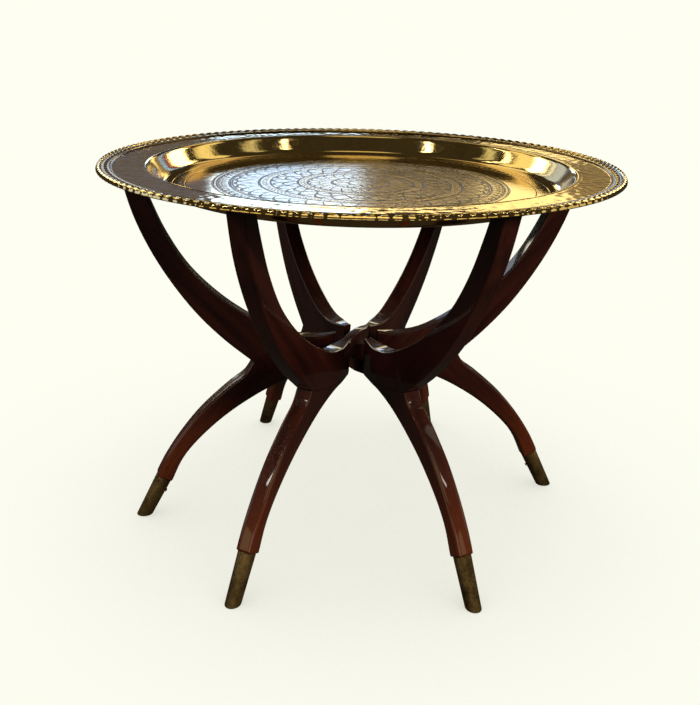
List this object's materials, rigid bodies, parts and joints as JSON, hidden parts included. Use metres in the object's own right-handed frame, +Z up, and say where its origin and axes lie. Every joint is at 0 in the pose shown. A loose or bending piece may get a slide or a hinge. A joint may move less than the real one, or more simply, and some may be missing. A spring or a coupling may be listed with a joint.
{
  "type": "tray table",
  "caption": "Round brass tray with a shallow engraved well, resting on a folding wooden stand of curved arms and legs with brass ferrules.",
  "frame": {"origin": "on the floor, under the tray's centre", "axes": "+Z up through the tray's centre and the pivot bolt; -Y towards the viewer, +X to the viewer's right"},
  "size_m": [0.584, 0.584, 0.4358],
  "materials": {
    "polished_brass": "polished sheet brass with an engraved floor and a lightly hammered rim",
    "dark_wood": "dark red-brown hardwood under glossy lacquer",
    "aged_brass": "dull tarnished brass",
    "pale_wood": "bare turned dowel, glued inside",
    "steel": "plain steel"
  },
  "bodies": {
    "front_left_pair": {"bridge_top": "dark_wood", "arm_back_right": "dark_wood", "leg_back_right": "dark_wood", "ferrule_back_right": "aged_brass", "ferrule_nail_back_right": "aged_brass", "dowel_inner_back_right": "pale_wood", "dowel_outer_back_right": "pale_wood", "arm_front_left": "dark_wood", "leg_front_left": "dark_wood", "ferrule_front_left": "aged_brass", "ferrule_nail_front_left": "aged_brass", "dowel_inner_front_left": "pale_wood", "dowel_outer_front_left": "pale_wood", "pivot_bolt": "steel", "pivot_head_washer": "steel", "pivot_nut": "aged_brass", "spacer_lower": "aged_brass", "spacer_upper": "aged_brass"},
    "side_pair": {"bridge_middle": "dark_wood", "arm_right": "dark_wood", "leg_right": "dark_wood", "ferrule_right": "aged_brass", "ferrule_nail_right": "aged_brass", "dowel_inner_right": "pale_wood", "dowel_outer_right": "pale_wood", "arm_left": "dark_wood", "leg_left": "dark_wood", "ferrule_left": "aged_brass", "ferrule_nail_left": "aged_brass", "dowel_inner_left": "pale_wood", "dowel_outer_left": "pale_wood"},
    "front_right_pair": {"bridge_bottom": "dark_wood", "arm_back_left": "dark_wood", "leg_back_left": "dark_wood", "ferrule_back_left": "aged_brass", "ferrule_nail_back_left": "aged_brass", "dowel_inner_back_left": "pale_wood", "dowel_outer_back_left": "pale_wood", "arm_front_right": "dark_wood", "leg_front_right": "dark_wood", "ferrule_front_right": "aged_brass", "ferrule_nail_front_right": "aged_brass", "dowel_inner_front_right": "pale_wood", "dowel_outer_front_right": "pale_wood"},
    "tray": {"tray": "polished_brass"}
  },
  "joints": [
    {"name": "fold_side_pair", "type": "hinge", "parent": "front_left_pair", "child": "side_pair", "pos_m": [0, 0, 0.208], "axis": [0, 0, 1], "range_deg": [0, 27]},
    {"name": "fold_front_right_pair", "type": "hinge", "parent": "front_left_pair", "child": "front_right_pair", "pos_m": [0, 0, 0.1916], "axis": [0, 0, 1], "range_deg": [-32, 0]},
    {"name": "tray_lift", "type": "slide", "parent": "front_left_pair", "child": "tray", "axis": [0, 0, 1], "range_m": [0, 0.12]}
  ]
}
